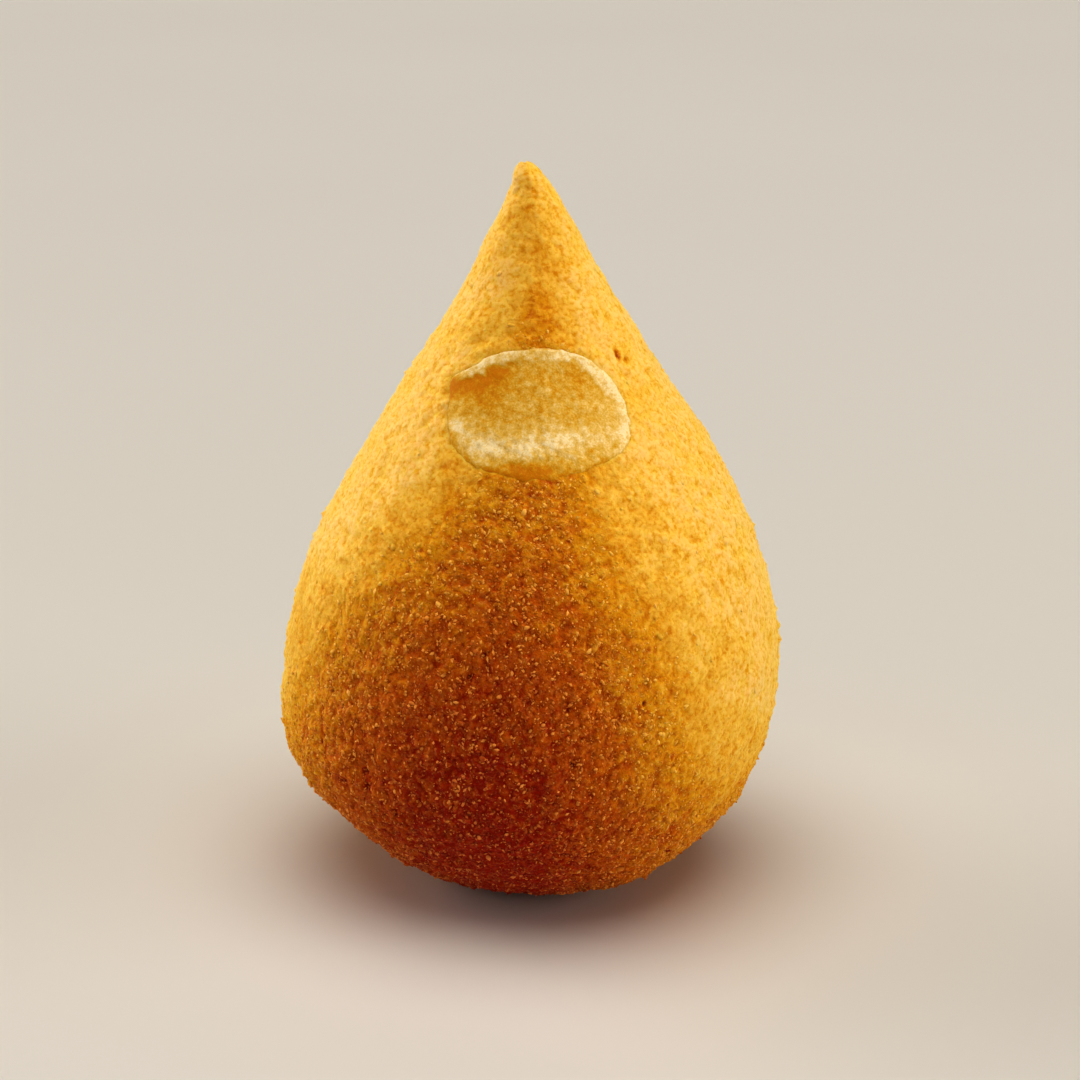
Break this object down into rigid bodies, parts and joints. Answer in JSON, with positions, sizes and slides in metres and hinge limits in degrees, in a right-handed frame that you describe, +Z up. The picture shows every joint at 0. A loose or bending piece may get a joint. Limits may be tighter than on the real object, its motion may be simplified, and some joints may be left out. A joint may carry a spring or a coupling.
{
  "type": "coxinha",
  "caption": "Coxinha, a teardrop of fried dough in a golden breadcrumb crust, standing on its round end, with a bare oval wafer label on its front.",
  "frame": {"origin": "on the surface it stands on, under the middle of its box", "axes": "+Z up to the pointed tip, the wafer label faces -Y, +X to the right as the label is seen"},
  "size_m": [0.0602, 0.0594, 0.086],
  "materials": {
    "crust": "golden fried breadcrumb, fine and rough, slightly oily",
    "wafer": "pale edible wafer, part soaked through with oil"
  },
  "bodies": {
    "root": {"breadcrumb_crust": "crust", "wafer_label": "wafer"}
  },
  "joints": []
}
